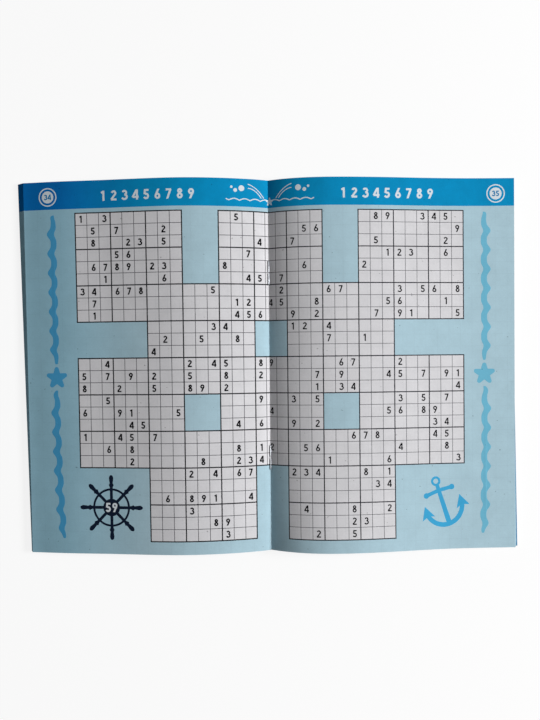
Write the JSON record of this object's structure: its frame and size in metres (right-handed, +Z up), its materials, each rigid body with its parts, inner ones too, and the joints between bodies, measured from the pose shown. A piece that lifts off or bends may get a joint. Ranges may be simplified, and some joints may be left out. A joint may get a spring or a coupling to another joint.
{
  "type": "stapled puzzle book",
  "caption": "Saddle-stapled softcover puzzle book lying open at its centre spread; the right-hand leaves and back cover turn over the fold.",
  "frame": {"origin": "under the fold at mid-height of the page, on the table", "axes": "+X to the reader's right across the spread, +Y along the fold to the head of the page, +Z up"},
  "size_m": [0.29, 0.215, 0.012],
  "materials": {
    "page": "uncoated, printed",
    "cover": "coated, printed",
    "wire": "bright wire"
  },
  "bodies": {
    "bound_left_half": {"cover_front_leaf": "cover", "sheet_16_left_leaf": "page", "sheet_15_left_leaf": "page", "sheet_14_left_leaf": "page", "sheet_13_left_leaf": "page", "sheet_12_left_leaf": "page", "sheet_11_left_leaf": "page", "sheet_10_left_leaf": "page", "sheet_09_left_leaf": "page", "sheet_08_left_leaf": "page", "sheet_07_left_leaf": "page", "sheet_06_left_leaf": "page", "sheet_05_left_leaf": "page", "sheet_04_left_leaf": "page", "sheet_03_left_leaf": "page", "sheet_02_left_leaf": "page", "sheet_01_left_leaf": "page", "staple_head": "wire", "staple_foot": "wire"},
    "back_cover": {"cover_back_leaf": "cover"},
    "right_leaf_16": {"sheet_16_right_leaf": "page"},
    "right_leaf_15": {"sheet_15_right_leaf": "page"},
    "right_leaf_14": {"sheet_14_right_leaf": "page"},
    "right_leaf_13": {"sheet_13_right_leaf": "page"},
    "right_leaf_12": {"sheet_12_right_leaf": "page"},
    "right_leaf_11": {"sheet_11_right_leaf": "page"},
    "right_leaf_10": {"sheet_10_right_leaf": "page"},
    "right_leaf_09": {"sheet_09_right_leaf": "page"},
    "right_leaf_08": {"sheet_08_right_leaf": "page"},
    "right_leaf_07": {"sheet_07_right_leaf": "page"},
    "right_leaf_06": {"sheet_06_right_leaf": "page"},
    "right_leaf_05": {"sheet_05_right_leaf": "page"},
    "right_leaf_04": {"sheet_04_right_leaf": "page"},
    "right_leaf_03": {"sheet_03_right_leaf": "page"},
    "right_leaf_02": {"sheet_02_right_leaf": "page"},
    "right_leaf_01": {"sheet_01_right_leaf": "page"}
  },
  "joints": [
    {"name": "back_cover_turn", "type": "hinge", "parent": "bound_left_half", "child": "back_cover", "pos_m": [0, 0, 0.00377], "axis": [0, -1, 0], "range_deg": [0, 108]},
    {"name": "leaf_16_turn", "type": "hinge", "parent": "bound_left_half", "child": "right_leaf_16", "pos_m": [0, 0, 0.00377], "axis": [0, -1, 0], "range_deg": [0, 110.25]},
    {"name": "leaf_15_turn", "type": "hinge", "parent": "bound_left_half", "child": "right_leaf_15", "pos_m": [0, 0, 0.00377], "axis": [0, -1, 0], "range_deg": [0, 112.5]},
    {"name": "leaf_14_turn", "type": "hinge", "parent": "bound_left_half", "child": "right_leaf_14", "pos_m": [0, 0, 0.00377], "axis": [0, -1, 0], "range_deg": [0, 114.75]},
    {"name": "leaf_13_turn", "type": "hinge", "parent": "bound_left_half", "child": "right_leaf_13", "pos_m": [0, 0, 0.00377], "axis": [0, -1, 0], "range_deg": [0, 117]},
    {"name": "leaf_12_turn", "type": "hinge", "parent": "bound_left_half", "child": "right_leaf_12", "pos_m": [0, 0, 0.00377], "axis": [0, -1, 0], "range_deg": [0, 119.25]},
    {"name": "leaf_11_turn", "type": "hinge", "parent": "bound_left_half", "child": "right_leaf_11", "pos_m": [0, 0, 0.00377], "axis": [0, -1, 0], "range_deg": [0, 121.5]},
    {"name": "leaf_10_turn", "type": "hinge", "parent": "bound_left_half", "child": "right_leaf_10", "pos_m": [0, 0, 0.00377], "axis": [0, -1, 0], "range_deg": [0, 123.75]},
    {"name": "leaf_09_turn", "type": "hinge", "parent": "bound_left_half", "child": "right_leaf_09", "pos_m": [0, 0, 0.00377], "axis": [0, -1, 0], "range_deg": [0, 126]},
    {"name": "leaf_08_turn", "type": "hinge", "parent": "bound_left_half", "child": "right_leaf_08", "pos_m": [0, 0, 0.00377], "axis": [0, -1, 0], "range_deg": [0, 128.25]},
    {"name": "leaf_07_turn", "type": "hinge", "parent": "bound_left_half", "child": "right_leaf_07", "pos_m": [0, 0, 0.00377], "axis": [0, -1, 0], "range_deg": [0, 130.5]},
    {"name": "leaf_06_turn", "type": "hinge", "parent": "bound_left_half", "child": "right_leaf_06", "pos_m": [0, 0, 0.00377], "axis": [0, -1, 0], "range_deg": [0, 132.75]},
    {"name": "leaf_05_turn", "type": "hinge", "parent": "bound_left_half", "child": "right_leaf_05", "pos_m": [0, 0, 0.00377], "axis": [0, -1, 0], "range_deg": [0, 135]},
    {"name": "leaf_04_turn", "type": "hinge", "parent": "bound_left_half", "child": "right_leaf_04", "pos_m": [0, 0, 0.00377], "axis": [0, -1, 0], "range_deg": [0, 137.25]},
    {"name": "leaf_03_turn", "type": "hinge", "parent": "bound_left_half", "child": "right_leaf_03", "pos_m": [0, 0, 0.00377], "axis": [0, -1, 0], "range_deg": [0, 139.5]},
    {"name": "leaf_02_turn", "type": "hinge", "parent": "bound_left_half", "child": "right_leaf_02", "pos_m": [0, 0, 0.00377], "axis": [0, -1, 0], "range_deg": [0, 141.75]},
    {"name": "leaf_01_turn", "type": "hinge", "parent": "bound_left_half", "child": "right_leaf_01", "pos_m": [0, 0, 0.00377], "axis": [0, -1, 0], "range_deg": [0, 144]}
  ],
  "couplings": [
    {"joint": "leaf_16_turn", "follows": "back_cover_turn", "ratio": 1.0208},
    {"joint": "leaf_15_turn", "follows": "back_cover_turn", "ratio": 1.0417},
    {"joint": "leaf_14_turn", "follows": "back_cover_turn", "ratio": 1.0625},
    {"joint": "leaf_13_turn", "follows": "back_cover_turn", "ratio": 1.0833},
    {"joint": "leaf_12_turn", "follows": "back_cover_turn", "ratio": 1.1042},
    {"joint": "leaf_11_turn", "follows": "back_cover_turn", "ratio": 1.125},
    {"joint": "leaf_10_turn", "follows": "back_cover_turn", "ratio": 1.1458},
    {"joint": "leaf_09_turn", "follows": "back_cover_turn", "ratio": 1.1667},
    {"joint": "leaf_08_turn", "follows": "back_cover_turn", "ratio": 1.1875},
    {"joint": "leaf_07_turn", "follows": "back_cover_turn", "ratio": 1.2083},
    {"joint": "leaf_06_turn", "follows": "back_cover_turn", "ratio": 1.2292},
    {"joint": "leaf_05_turn", "follows": "back_cover_turn", "ratio": 1.25},
    {"joint": "leaf_04_turn", "follows": "back_cover_turn", "ratio": 1.2708},
    {"joint": "leaf_03_turn", "follows": "back_cover_turn", "ratio": 1.2917},
    {"joint": "leaf_02_turn", "follows": "back_cover_turn", "ratio": 1.3125},
    {"joint": "leaf_01_turn", "follows": "back_cover_turn", "ratio": 1.3333}
  ]
}
